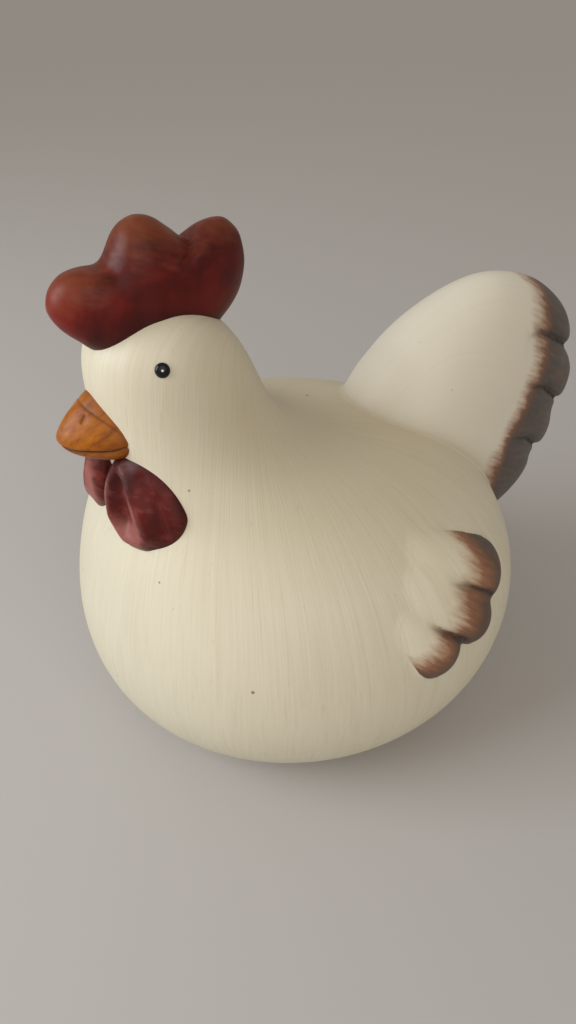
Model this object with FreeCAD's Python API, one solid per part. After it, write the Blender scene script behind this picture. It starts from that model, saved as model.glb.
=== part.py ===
import FreeCAD
import Part

import math
import os

# A sitting ceramic hen, in millimetres. It faces -Y, its left side is +X and +Z is up.
# The origin is the middle of the flat base. Every piece is modelled where it sits.

# Overall sizes of the body, measured from the origin
BODY_WIDTH = 304.0
BREAST_REACH = 153.0
RUMP_REACH = 166.0
BACK_HEIGHT = 213.0

# Head, measured at the level of the beak
HEAD_WIDTH = 96.0
HEAD_LENGTH = 103.0
HEAD_FORWARD = 78.5
HEAD_RISE = 103.0
CROWN_HEIGHT = BACK_HEIGHT + HEAD_RISE
FACE_BELOW_CROWN = 46.0
NAPE_BELOW_CROWN = 60.0

# Clay and the holes in it
WALL = 7.0
POUR_HOLE = 26.0
POUR_HOLE_BEHIND = 35.0
TAIL_VENT = 16.0

# Tail fan, in the upright plane through the middle. Its root lies inside the rump.
TAIL_HALF_THICKNESS = 56.0
TAIL_ROOT_SINK = 63.0
TAIL_ROOT_BELOW_BACK = 48.0
TAIL_LENGTH = 157.0
TAIL_HEIGHT = 119.0
TAIL_PUFF = 1.15

# Wings
WING_LIFT = 5.0
WING_LENGTH = 127.0
WING_DEPTH = 93.0
WING_FRONT = 55.0
WING_BELOW_BACK = 4.0

# Comb
COMB_HALF_THICKNESS = 19.0
COMB_LENGTH = 111.0
COMB_RISE = 43.0
COMB_SINK = 24.0
COMB_MIDDLE_BACK = 13.5
COMB_PUFF = 0.7

# Beak
BEAK_WIDTH = 56.0
BEAK_HEIGHT = 46.0
BEAK_REACH = 23.0
BEAK_BELOW_CROWN = 58.5
BEAK_DROOP = 9.5
MOUTH_GAP = 1.2
MOUTH_DEPTH = 2.0
MOUTH_BELOW_TIP = 3.5
NOSTRIL = 3.0

# Wattles
WATTLE_WIDTH = 54.0
WATTLE_DROP = 60.0
WATTLE_THICKNESS = 19.0
WATTLE_SPREAD = 31.5
WATTLE_BELOW_BEAK = 45.0
WATTLE_GROOVE = 5.0

# Eyes
EYE_DIAMETER = 8.0
EYE_PROUD = 2.0
EYE_BACK_FROM_FACE = 28.5
EYE_BELOW_CROWN = 22.0

# How finely the rings and puffed slabs are drawn, and how far a probe or a cutter overshoots
RING_POINTS = 24
BEAK_POINTS = 16
PILLOW_TURNS = (-80, -62, -42, -21, 0, 21, 42, 62, 80)
MARGIN = 10.0

# Rings up the body: height, front reach, back reach and half width, as shares of the body sizes
BODY_RINGS = [
    (0.000, 0.49, 0.48, 0.485),
    (0.047, 0.73, 0.72, 0.725),
    (0.160, 0.90, 0.895, 0.895),
    (0.305, 0.98, 0.975, 0.98),
    (0.446, 1.00, 1.00, 1.00),
    (0.587, 0.98, 0.97, 0.974),
    (0.728, 0.935, 0.885, 0.895),
    (0.854, 0.885, 0.755, 0.77),
    (0.953, 0.82, 0.59, 0.63)]

# Rings from the shoulder to the head: how far each has gone in front height, back height,
# reach and half width
NECK_RINGS = [
    (0.25, 0.19, 0.36, 0.37),
    (0.50, 0.36, 0.72, 0.70),
    (0.76, 0.64, 0.92, 0.89)]

# Rings over the head: rise in front and behind from the beak level to the crown,
# then front, back and half width as shares of the head's
HEAD_RINGS = [
    (0.00, 0.00, 1.00, 1.00, 1.00),
    (0.33, 0.31, 1.00, 0.87, 0.94),
    (0.65, 0.62, 0.93, 0.67, 0.85),
    (0.89, 0.85, 0.69, 0.40, 0.66),
    (1.00, 0.985, 0.38, 0.12, 0.33)]


def vector(x, y, z):
    return FreeCAD.Vector(x, y, z)


def between(start, end, share):
    """The value a given share of the way from start to end."""
    return start + (end - start) * share


def mirrored(shape):
    """The same piece on the hen's other side."""
    return shape.mirror(vector(0, 0, 0), vector(1, 0, 0))


def closed_curve(points):
    """One smooth closed wire through points that are spaced evenly round it."""
    count = len(points)
    spacing = [step / count for step in range(count + 1)]
    curve = Part.BSplineCurve()
    curve.interpolate(Points=points, PeriodicFlag=True, Parameters=spacing)
    return Part.Wire([curve.toShape()])


def ring(front, back, half_width):
    """An oval ring round the body between its front and back points, which may differ in height."""
    points = []
    for step in range(RING_POINTS):
        turn = 2 * math.pi * step / RING_POINTS
        forward = (1 + math.cos(turn)) / 2
        y = between(back[0], front[0], forward)
        z = between(back[1], front[1], forward)
        points.append(vector(half_width * math.sin(turn), y, z))
    return closed_curve(points)


def body_rings():
    """Front point, back point and half width of each ring from the base to the crown."""
    rings = []
    for height, front, back, width in BODY_RINGS:
        z = height * BACK_HEIGHT
        rings.append(((-front * BREAST_REACH, z), (back * RUMP_REACH, z), width * BODY_WIDTH / 2))
    chest, shoulder, shoulder_width = rings[-1]
    face = (-HEAD_FORWARD - HEAD_LENGTH / 2, CROWN_HEIGHT - FACE_BELOW_CROWN)
    nape = (-HEAD_FORWARD + HEAD_LENGTH / 2, CROWN_HEIGHT - NAPE_BELOW_CROWN)
    for front_rise, back_rise, drawn_in, narrowed in NECK_RINGS:
        front = (between(chest[0], face[0], drawn_in), between(chest[1], face[1], front_rise))
        back = (between(shoulder[0], nape[0], drawn_in), between(shoulder[1], nape[1], back_rise))
        rings.append((front, back, between(shoulder_width, HEAD_WIDTH / 2, narrowed)))
    for front_rise, back_rise, front_share, back_share, width in HEAD_RINGS:
        front = (-HEAD_FORWARD - front_share * HEAD_LENGTH / 2, between(face[1], CROWN_HEIGHT, front_rise))
        back = (-HEAD_FORWARD + back_share * HEAD_LENGTH / 2, between(nape[1], CROWN_HEIGHT, back_rise))
        rings.append((front, back, width * HEAD_WIDTH / 2))
    return rings


def sunk(below, point, above, depth, side):
    """A point of an upright profile moved square to that profile, into the clay."""
    run = (above[0] - below[0]) * side
    rise = above[1] - below[1]
    length = math.hypot(run, rise)
    z = point[1] + depth * run / length
    return (point[0] - side * depth * rise / length, min(max(z, depth), CROWN_HEIGHT - depth))


def inner_rings(depth):
    """The rings of the hollow, a wall's depth inside those of the outside."""
    outer = body_rings()
    inner = []
    for index, (front, back, half_width) in enumerate(outer):
        below = outer[max(index - 1, 0)]
        above = outer[min(index + 1, len(outer) - 1)]
        middle = (front[1] + back[1]) / 2
        side = sunk((below[2], (below[0][1] + below[1][1]) / 2), (half_width, middle),
                    (above[2], (above[0][1] + above[1][1]) / 2), depth, 1)
        inner.append((sunk(below[0], front, above[0], depth, -1),
                      sunk(below[1], back, above[1], depth, 1), side[0]))
    return inner


def form_through(rings):
    """One closed solid through a stack of rings."""
    return Part.makeLoft([ring(*part) for part in rings], True, False)


def skin(form, y, z):
    """The point on the hen's left side of a form at one place along and up."""
    reach = form.BoundBox.XMax + MARGIN
    probe = Part.makeLine(vector(0, y, z), vector(reach, y, z)).common(form)
    return vector(probe.BoundBox.XMax, y, z)


def front_of(form, x, z):
    """The point on the front of a form at one place across and up."""
    reach = form.BoundBox.YMin - MARGIN
    probe = Part.makeLine(vector(x, -HEAD_FORWARD, z), vector(x, reach, z)).common(form)
    return vector(x, probe.BoundBox.YMin, z)


def curved(points):
    """One smooth edge through a few points."""
    curve = Part.BSplineCurve()
    curve.interpolate(Points=points)
    return curve.toShape()


def pillow(lobes, middle, half_thickness, puff, inset=0.0):
    """A puffed slab in the upright middle plane.

    Its outline is a chain of smooth lobes, drawn in towards the middle as it goes sideways.
    """
    wires = []
    for degrees in PILLOW_TURNS:
        turn = math.radians(degrees)
        share = math.cos(turn) ** puff
        x = half_thickness * math.sin(turn)
        edges = []
        for lobe in lobes:
            points = []
            for y, z in lobe:
                dy = y - middle[0]
                dz = z - middle[1]
                drawn = share * (1 - inset / math.hypot(dy, dz))
                points.append(vector(x, middle[0] + dy * drawn, middle[1] + dz * drawn))
            edges.append(curved(points))
        wires.append(Part.Wire(edges))
    return Part.makeLoft(wires, True, False)


def tail_lobes():
    """The fan's outline: a long top feather, three short ones below it and the sunken root."""
    root = (RUMP_REACH - TAIL_ROOT_SINK, BACK_HEIGHT - TAIL_ROOT_BELOW_BACK)

    def place(along, up):
        return (root[0] + along * TAIL_LENGTH, root[1] + up * TAIL_HEIGHT)

    top = [place(-0.325, 0.395), place(-0.12, 0.68), place(0.12, 0.90), place(0.375, 0.975),
           place(0.655, 0.88), place(0.86, 0.69), place(0.925, 0.43)]
    second = [place(0.925, 0.43), place(0.985, 0.23), place(0.875, 0.03)]
    third = [place(0.875, 0.03), place(0.90, -0.13), place(0.77, -0.29)]
    fourth = [place(0.77, -0.29), place(0.745, -0.49), place(0.60, -0.65)]
    hidden = [place(0.60, -0.65), place(0.20, -0.76), place(-0.21, -0.38), place(-0.325, 0.395)]
    return [top, second, third, fourth, hidden], root


def make_tail(form):
    """The hollow tail fan, open where it is luted to the rump."""
    lobes, root = tail_lobes()
    outside = pillow(lobes, root, TAIL_HALF_THICKNESS, TAIL_PUFF)
    inside = pillow(lobes, root, TAIL_HALF_THICKNESS - WALL, TAIL_PUFF, WALL)
    return outside.cut(inside).cut(form)


def make_body(form):
    """The hollow cast body with its pour hole and the vent into the tail."""
    inside = form_through(inner_rings(WALL))
    hole = Part.makeCylinder(POUR_HOLE / 2, 3 * WALL, vector(0, POUR_HOLE_BEHIND, -WALL))
    vent_start = vector(0, RUMP_REACH / 2, BACK_HEIGHT - TAIL_ROOT_BELOW_BACK)
    vent = Part.makeCylinder(TAIL_VENT / 2, RUMP_REACH, vent_start, vector(0, 1, 0))
    return form.cut(inside).cut(hole).cut(vent)


def make_wing(form):
    """The left wing: a plate that lies on the flank and lifts away from it towards its tips."""
    front = -WING_FRONT
    top = BACK_HEIGHT - WING_BELOW_BACK

    def place(along, down):
        return vector(0, front + along * WING_LENGTH, top - down * WING_DEPTH)

    edges = [
        curved([place(0.34, 0.00), place(0.57, 0.12), place(0.79, 0.30), place(0.93, 0.47),
                place(1.00, 0.64), place(0.87, 0.74)]),
        curved([place(0.87, 0.74), place(0.865, 0.83), place(0.81, 0.91), place(0.72, 0.935),
                place(0.63, 0.90)]),
        curved([place(0.63, 0.90), place(0.58, 0.97), place(0.49, 1.00), place(0.36, 0.96),
                place(0.23, 0.81)]),
        curved([place(0.23, 0.81), place(0.10, 0.60), place(0.00, 0.31)]),
        Part.makeLine(place(0.00, 0.31), place(0.34, 0.00))]
    blank = Part.Face(Part.Wire(edges)).extrude(vector(BODY_WIDTH, 0, 0))
    low = skin(form, place(0.00, 0.31).y, place(0.00, 0.31).z)
    high = skin(form, place(0.34, 0.00).y, place(0.34, 0.00).z)
    turned = form.copy()
    turned.rotate(low, low - high, WING_LIFT)
    return turned.common(blank).cut(form)


def make_comb(form):
    """The comb: three puffed lobes that stand on the crown."""
    middle = (-HEAD_FORWARD - COMB_MIDDLE_BACK, CROWN_HEIGHT)

    def place(along, up):
        return (middle[0] + along * COMB_LENGTH / 2, middle[1] + up * COMB_RISE)

    foot = -COMB_SINK / COMB_RISE
    rear = [place(0.67, foot), place(0.90, -0.22), place(1.05, 0.30), place(1.02, 0.72),
            place(0.85, 0.91), place(0.66, 0.86), place(0.47, 0.67)]
    middle_lobe = [place(0.47, 0.67), place(0.28, 0.87), place(0.04, 1.00), place(-0.17, 0.91),
                   place(-0.35, 0.52)]
    front = [place(-0.35, 0.52), place(-0.59, 0.54), place(-0.83, 0.43), place(-0.95, 0.15),
             place(-0.85, -0.15), place(-0.56, foot)]
    base = [place(-0.56, foot), place(0.05, 1.4 * foot), place(0.67, foot)]
    return pillow([rear, middle_lobe, front, base], middle, COMB_HALF_THICKNESS,
                  COMB_PUFF).cut(form)


def beak_form(tip, seat_y, level, width, height):
    """A blunt wedge, widest low down, from its seat in the face to its tip."""
    wires = []
    for share, size in ((0.0, 1.0), (0.42, 0.92), (0.70, 0.64), (0.90, 0.34), (1.0, 0.12)):
        y = between(seat_y, tip.y, share)
        middle = between(level, tip.z, share)
        points = []
        for step in range(BEAK_POINTS):
            turn = 2 * math.pi * step / BEAK_POINTS
            x = size * width / 2 * math.sin(turn) * (1 - 0.40 * math.cos(turn)) / 1.13
            z = middle + size * height / 2 * math.cos(turn)
            points.append(vector(x, y, z))
        wires.append(closed_curve(points))
    return Part.makeLoft(wires, True, False)


def make_beak(form):
    """The beak with its cut mouth line and two nostrils."""
    level = CROWN_HEIGHT - BEAK_BELOW_CROWN
    face = front_of(form, 0, level)
    tip = vector(0, face.y - BEAK_REACH, level - BEAK_DROOP)
    seat_y = face.y + BEAK_REACH
    beak = beak_form(tip, seat_y, level, BEAK_WIDTH, BEAK_HEIGHT)
    inner_tip = vector(0, tip.y + MOUTH_DEPTH, tip.z)
    core = beak_form(inner_tip, seat_y, level, BEAK_WIDTH - 2 * MOUTH_DEPTH,
                     BEAK_HEIGHT - 2 * MOUTH_DEPTH)
    slab_corner = vector(-BEAK_WIDTH, tip.y - BEAK_REACH, tip.z - MOUTH_BELOW_TIP)
    slab = Part.makeBox(2 * BEAK_WIDTH, 3 * BEAK_REACH, MOUTH_GAP, slab_corner)
    beak = beak.cut(form).cut(slab.cut(core))
    for side in (-1, 1):
        nostril = vector(side * BEAK_WIDTH / 6, between(face.y, tip.y, 0.45), level + BEAK_HEIGHT / 5)
        beak = beak.cut(Part.makeSphere(NOSTRIL / 2, nostril))
    return beak


def ellipsoid(width, thickness, height):
    """A ball stretched to three sizes, thin along Y, centred on the origin."""
    stretch = FreeCAD.Matrix()
    stretch.A11 = width / 2
    stretch.A22 = thickness / 2
    stretch.A33 = height / 2
    return Part.makeSphere(1.0).transformGeometry(stretch)


def make_wattle(form, beak):
    """The left wattle: a hanging pad with a long hollow down its front."""
    level = CROWN_HEIGHT - BEAK_BELOW_CROWN - WATTLE_BELOW_BEAK
    seat = front_of(form, WATTLE_SPREAD, level)
    beside = front_of(form, WATTLE_SPREAD + 5, level)
    across = math.degrees(math.atan2(beside.y - seat.y, 5))
    pad = ellipsoid(WATTLE_WIDTH, WATTLE_THICKNESS, WATTLE_DROP)
    hollow = ellipsoid(WATTLE_WIDTH / 3, 2 * WATTLE_GROOVE, WATTLE_DROP * 0.66)
    hollow.translate(vector(-WATTLE_WIDTH / 12, -WATTLE_THICKNESS / 2, 0))
    pad = pad.cut(hollow)
    pad.rotate(vector(0, 0, 0), vector(0, 0, 1), across)
    pad.translate(seat)
    return pad.cut(form).cut(beak)


def make_eye(form):
    """The left eye: a small domed bead on the side of the head."""
    y = -HEAD_FORWARD - HEAD_LENGTH / 2 + EYE_BACK_FROM_FACE
    seat = skin(form, y, CROWN_HEIGHT - EYE_BELOW_CROWN)
    half = EYE_DIAMETER / 2
    radius = (half ** 2 + EYE_PROUD ** 2) / (2 * EYE_PROUD)
    ahead = skin(form, y - 2, seat.z)
    above = skin(form, y, seat.z + 2)
    outward = (seat - ahead).cross(above - seat)
    outward.normalize()
    if outward.x < 0:
        outward = outward * -1
    dome = Part.makeSphere(radius, seat - outward * (radius - EYE_PROUD))
    post = Part.makeCylinder(half, 4 * EYE_PROUD, seat - outward * EYE_PROUD, outward)
    return dome.common(post).cut(form)


def main():
    form = form_through(body_rings())
    beak = make_beak(form)
    wing = make_wing(form)
    wattle = make_wattle(form, beak)
    eye = make_eye(form)
    pieces = {
        "body_shell": make_body(form),
        "tail": make_tail(form),
        "wing_left": wing,
        "wing_right": mirrored(wing),
        "comb": make_comb(form),
        "beak": beak,
        "wattle_left": wattle,
        "wattle_right": mirrored(wattle),
        "eye_left": eye,
        "eye_right": mirrored(eye)}
    os.makedirs("parts", exist_ok=True)
    for name, shape in pieces.items():
        shape.exportStep("parts/" + name + ".step")
        box = shape.BoundBox
        print(name, len(shape.Solids), shape.isValid(), round(shape.Volume / 1000, 1), "cm3",
              [round(v, 1) for v in (box.XMin, box.XMax, box.YMin, box.YMax, box.ZMin, box.ZMax)])


main()
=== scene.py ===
# %% [markdown]
# # A painted ceramic hen
# This lesson builds the visible model of a hollow ceramic hen that stands on a shelf. The imported frame
# gives every piece its place and size, so the first step loads it.

import math

import bpy
import numpy as np
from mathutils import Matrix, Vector
from mathutils.bvhtree import BVHTree


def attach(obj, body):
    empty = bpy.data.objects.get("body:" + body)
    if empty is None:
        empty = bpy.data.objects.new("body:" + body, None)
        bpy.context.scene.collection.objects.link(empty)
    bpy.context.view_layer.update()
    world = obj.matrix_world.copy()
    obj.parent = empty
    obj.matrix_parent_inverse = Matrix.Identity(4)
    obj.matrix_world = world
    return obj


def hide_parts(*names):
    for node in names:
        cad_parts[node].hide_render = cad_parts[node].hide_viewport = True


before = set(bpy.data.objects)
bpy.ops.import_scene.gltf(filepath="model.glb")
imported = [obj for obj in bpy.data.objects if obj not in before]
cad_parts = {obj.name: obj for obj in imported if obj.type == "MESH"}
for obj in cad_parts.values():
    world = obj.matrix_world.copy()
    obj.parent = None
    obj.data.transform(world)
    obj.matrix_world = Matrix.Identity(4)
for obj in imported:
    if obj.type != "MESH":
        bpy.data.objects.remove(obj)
bpy.context.view_layer.update()
MM = 0.001

# %% [markdown]
# The camera looks down on the hen from its front left, as a person standing beside the shelf would.
# It is made first, because every finish below is judged through it.

# %% Camera
bpy.ops.object.select_all(action="DESELECT")
bpy.ops.object.camera_add(
    location=(0.3838, -0.2417, 0.472),
    rotation=(math.radians(53.93), 0, math.radians(58)))
camera = bpy.context.object
camera.name = "shelf_camera"
camera.data.lens = 27.6
camera.data.sensor_width = 36
bpy.context.scene.camera = camera
print("camera at", tuple(round(v, 3) for v in camera.location))

# %% [markdown]
# The hen stands on a plain pale top. A broad lamp in front of its breast gives the long soft highlight
# that satin paint shows. A weaker light from the hen's left falls the same everywhere, and the pale sky
# colour does what the white walls of a room do.


# %% Floor and light
def plain_finish(name, colour, roughness):
    """A quiet finish for what isn't the hen, with a faint mottle so that it isn't one flat colour."""
    finish = bpy.data.materials.new(name)
    finish.use_nodes = True
    tree = finish.node_tree
    noise = tree.nodes.new("ShaderNodeTexNoise")
    noise.inputs["Scale"].default_value = 3
    ramp = tree.nodes.new("ShaderNodeValToRGB")
    ramp.color_ramp.elements[0].color = [c * 0.97 for c in colour] + [1]
    ramp.color_ramp.elements[1].color = list(colour) + [1]
    shader = tree.nodes["Principled BSDF"]
    shader.inputs["Roughness"].default_value = roughness
    tree.links.new(noise.outputs["Fac"], ramp.inputs["Fac"])
    tree.links.new(ramp.outputs["Color"], shader.inputs["Base Color"])
    return finish


def add_lamp(name, kind, place, aim, spread, power, colour):
    """A soft lamp turned towards a point: a square of light, or one that falls the same everywhere."""
    bpy.ops.object.light_add(type=kind, location=place)
    lamp = bpy.context.object
    lamp.name = name
    if kind == "AREA":
        lamp.data.size = spread
    else:
        lamp.data.angle = spread
    lamp.data.energy = power
    lamp.data.color = colour
    towards = Vector(aim) - Vector(place)
    lamp.rotation_euler = towards.to_track_quat("-Z", "Y").to_euler()


FLOOR_SIZE = 60
bpy.ops.mesh.primitive_plane_add(size=FLOOR_SIZE)
floor = bpy.context.object
floor.name = "pale_shelf"
floor.data.materials.append(plain_finish("shelf_paint", (0.50, 0.48, 0.46), 0.6))

add_lamp("window_lamp", "AREA", (-0.35, -1.55, 1.05), (0, 0, 0.16), 1.2, 24, (0.95, 0.99, 1.04))
add_lamp("room_lamp", "SUN", (1.5, -0.5, 1.1), (0, 0, 0.1), math.radians(60), 0.80, (1.0, 0.96, 0.90))

world = bpy.data.worlds.new("white_room")
world.use_nodes = True
world.node_tree.nodes["Background"].inputs["Color"].default_value = (0.88, 0.81, 0.735, 1)
world.node_tree.nodes["Background"].inputs["Strength"].default_value = 0.45
bpy.context.scene.world = world
bpy.context.scene.view_settings.view_transform = "Standard"
print("floor and lamps ready")

# %% [markdown]
# ## The body
# The real hen is one hollow casting: a fat body that narrows through the neck into the head. A shape like
# that could be pushed out of a ball, but a stack of oval rings says exactly how wide and how deep it is
# at each height. The rings are given as shares of the body's sizes, lowest first.

# %% Sizes of the body and its rings
FULLNESS = 1.0135
HALF_WIDTH = 152 * MM * FULLNESS
BREAST_REACH = 153 * MM * FULLNESS
RUMP_REACH = 166 * MM * FULLNESS
BACK_HEIGHT = 213 * MM
CROWN_HEIGHT = 316 * MM
HEAD_HALF_WIDTH = 48 * MM * FULLNESS
HEAD_HALF_LENGTH = 51.5 * MM * FULLNESS
HEAD_FORWARD = 78.5 * MM
FACE_HEIGHT = CROWN_HEIGHT - 46 * MM
NAPE_HEIGHT = CROWN_HEIGHT - 60 * MM
WALL = 7 * MM
# the soft hollow of the throat, behind the wattles
THROAT = (0, -131 * MM, 214 * MM)
THROAT_WIDTH = 34 * MM
THROAT_DEPTH = 6 * MM

# height, front reach, back reach and half width
BODY_RINGS = [
    (0.000, 0.49, 0.48, 0.485), (0.047, 0.73, 0.72, 0.725), (0.160, 0.90, 0.895, 0.895),
    (0.305, 0.98, 0.975, 0.98), (0.446, 1.00, 1.00, 1.00), (0.587, 0.98, 0.97, 0.974),
    (0.728, 0.935, 0.885, 0.895), (0.854, 0.885, 0.755, 0.77), (0.953, 0.82, 0.59, 0.63)]
# from shoulder to head: front height, back height, reach and half width
NECK_RINGS = [(0.25, 0.19, 0.36, 0.37), (0.50, 0.36, 0.72, 0.70), (0.76, 0.64, 0.92, 0.89)]
# over the head: front rise, back rise, front, back and half width
HEAD_RINGS = [
    (0.00, 0.00, 1.00, 1.00, 1.00), (0.33, 0.31, 1.00, 0.87, 0.94), (0.65, 0.62, 0.93, 0.67, 0.85),
    (0.89, 0.85, 0.69, 0.40, 0.66), (1.00, 0.985, 0.38, 0.12, 0.33)]


def between(start, end, share):
    """The value a given share of the way from start to end."""
    return start + (end - start) * share


def body_rings():
    """Front point, back point and half width of each ring, each point as y and z."""
    rings = []
    for height, front, back, width in BODY_RINGS:
        z = height * BACK_HEIGHT
        rings.append(((-front * BREAST_REACH, z), (back * RUMP_REACH, z), width * HALF_WIDTH))
    chest, shoulder, shoulder_width = rings[-1]
    face = (-HEAD_FORWARD - HEAD_HALF_LENGTH, FACE_HEIGHT)
    nape = (-HEAD_FORWARD + HEAD_HALF_LENGTH, NAPE_HEIGHT)
    for front_rise, back_rise, drawn_in, narrowed in NECK_RINGS:
        front = (between(chest[0], face[0], drawn_in), between(chest[1], face[1], front_rise))
        back = (between(shoulder[0], nape[0], drawn_in), between(shoulder[1], nape[1], back_rise))
        rings.append((front, back, between(shoulder_width, HEAD_HALF_WIDTH, narrowed)))
    for front_rise, back_rise, front_share, back_share, width in HEAD_RINGS:
        front = (-HEAD_FORWARD - front_share * HEAD_HALF_LENGTH,
                 between(FACE_HEIGHT, CROWN_HEIGHT, front_rise))
        back = (-HEAD_FORWARD + back_share * HEAD_HALF_LENGTH,
                between(NAPE_HEIGHT, CROWN_HEIGHT, back_rise))
        rings.append((front, back, width * HEAD_HALF_WIDTH))
    return rings


print(len(body_rings()), "rings from the base to the crown")


# %% Raise the form ring by ring
def deselect():
    """Leaves edit mode and lets go of everything, since an operator acts on all that is selected."""
    if bpy.context.mode != "OBJECT":
        bpy.ops.object.mode_set(mode="OBJECT")
    bpy.ops.object.select_all(action="DESELECT")


def take(*pieces):
    """Selects only these pieces and makes the first one active."""
    deselect()
    for piece in pieces:
        piece.select_set(True)
    bpy.context.view_layer.objects.active = pieces[0]


def edit_all(piece):
    """Opens one piece for editing, with all of it selected."""
    take(piece)
    bpy.ops.object.mode_set(mode="EDIT")
    bpy.ops.mesh.select_all(action="SELECT")


def copy_of(source, name):
    """A second piece like the first."""
    take(source)
    bpy.ops.object.duplicate()
    copy = bpy.context.object
    copy.name = name
    return copy


def triangles(piece):
    """How many triangles the faces of a piece come to."""
    return sum(len(face.vertices) - 2 for face in piece.data.polygons)


def apply_modifier(piece, kind, **settings):
    """Adds a modifier, sets it and applies it at once."""
    take(piece)
    modifier = piece.modifiers.new(kind.lower(), kind)
    for key, value in settings.items():
        setattr(modifier, key, value)
    bpy.ops.object.modifier_apply(modifier=modifier.name)


def faces_outwards(piece):
    """Merges doubled points and turns every face outwards."""
    edit_all(piece)
    bpy.ops.mesh.remove_doubles(threshold=1e-6)
    bpy.ops.mesh.normals_make_consistent(inside=False)
    bpy.ops.object.mode_set(mode="OBJECT")


def raise_form(name, rings):
    """Starts from a disc and extrudes it upwards. Each ring is turned, stretched and moved into place."""
    deselect()
    bpy.ops.mesh.primitive_circle_add(vertices=32, radius=1, fill_type="NGON")
    form = bpy.context.object
    form.name = name
    edit_all(form)
    centre, length, width, tilt = Vector(), 1, 1, 0
    for index, (front, back, new_width) in enumerate(rings):
        new_centre = Vector((0, (front[0] + back[0]) / 2, (front[1] + back[1]) / 2))
        new_length = math.dist(front, back) / 2
        new_tilt = math.atan2(front[1] - back[1], back[0] - front[0])
        if index:
            bpy.ops.mesh.extrude_region_move()
        bpy.ops.transform.rotate(value=-tilt, orient_axis="X", center_override=centre)
        stretch = (new_width / width, new_length / length, 1)
        bpy.ops.transform.resize(value=stretch, center_override=centre)
        bpy.ops.transform.translate(value=new_centre - centre)
        bpy.ops.transform.rotate(value=new_tilt, orient_axis="X", center_override=new_centre)
        centre, length, width, tilt = new_centre, new_length, new_width, new_tilt
    bpy.ops.mesh.inset(thickness=6 * MM)
    bpy.ops.object.mode_set(mode="OBJECT")
    faces_outwards(form)
    return form


def points_of(piece):
    """All points of a piece and the ways that they face, as two arrays."""
    count = len(piece.data.vertices)
    places, facings = np.empty(count * 3), np.empty(count * 3)
    piece.data.vertices.foreach_get("co", places)
    piece.data.vertices.foreach_get("normal", facings)
    return places.reshape(-1, 3), facings.reshape(-1, 3)


def move_points(piece, places):
    """Puts changed points back into a piece."""
    piece.data.vertices.foreach_set("co", places.ravel())
    piece.data.update()


def dent(piece, centre, width, depth):
    """Presses a soft hollow into a piece round one place."""
    places, facings = points_of(piece)
    gap = np.linalg.norm(places - centre, axis=1) / width
    move_points(piece, places - facings * (depth * np.exp(-gap ** 2))[:, None])


form = raise_form("hen_form", body_rings())
apply_modifier(form, "SUBSURF", levels=3, render_levels=3)
dent(form, THROAT, THROAT_WIDTH, THROAT_DEPTH)
print("form", len(form.data.polygons), "faces, size", tuple(round(v, 4) for v in form.dimensions))

# %% [markdown]
# Later pieces have to sit on this form, so two small helpers find the skin by shooting a line at it, from
# the side for a wing and from the front for a wattle. Two copies of the form are kept: one slightly
# larger, which parts the finished clay into its pieces, and one slightly smaller, in which the separate
# pieces are bedded. A third copy, smaller by the wall, becomes the hollow inside.


# %% Find the skin of the form
def hit_from_side(y, z):
    """The point of the left flank at one place along and up, and the way that it faces."""
    found, place, normal, face = form.ray_cast(Vector((0.4, y, z)), Vector((-1, 0, 0)))
    return place, normal


def hit_from_front(x, z):
    """The point of the front at one place across and up, and the way that it faces."""
    found, place, normal, face = form.ray_cast(Vector((x, -0.4, z)), Vector((0, 1, 0)))
    return place, normal


def grown_copy(source, name, distance):
    """A copy of a closed piece whose skin is moved outwards, or inwards where the distance is below 0."""
    copy = copy_of(source, name)
    edit_all(copy)
    bpy.ops.transform.shrink_fatten(value=distance)
    bpy.ops.object.mode_set(mode="OBJECT")
    return copy


parting = grown_copy(form, "parting_form", 0.9 * MM)
bedding = grown_copy(form, "bedding_form", -1.0 * MM)
hollow = grown_copy(form, "hollow_form", -WALL)
print("parting", tuple(round(v, 4) for v in parting.dimensions),
      "bedding", tuple(round(v, 4) for v in bedding.dimensions))

# %% [markdown]
# ## The tail
# The tail is a thick fan, fullest near the rump and rounded over to its rim. It could be carved, but a
# flat outline that is pulled out sideways and drawn in towards its root at every step gives the same
# puffed slab. The rim is described by how far it lies from the root in each direction.

# %% Sizes of the tail
TAIL_ROOT = Vector((0, 103 * MM, 165 * MM))
TAIL_HALF_THICKNESS = 56 * MM
# direction in degrees above level, and how far the rim lies from the root in mm
TAIL_RIM = [
    (-126, 56), (-98, 74), (-71, 95), (-50, 115), (-39, 123), (-33, 131), (-26, 136), (-20, 137),
    (-16, 134), (-12, 142), (-7, 148), (-3, 148), (1, 146), (5, 158), (10, 164), (15, 165), (19, 161),
    (24, 165), (31, 163), (46, 152), (63, 135), (80, 112), (103, 86), (120, 76), (137, 70),
    (165, 59), (200, 53)]


TAIL_PUFF = 1.15
TAIL_CALM = 0.6
SLAB_POINTS = 96


def rim_reach(rim, degrees):
    """How far a rim lies from its centre in one direction."""
    directions = [direction for direction, distance in rim]
    distances = [distance * MM for direction, distance in rim]
    return np.interp(degrees, directions, distances, period=360)


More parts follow.
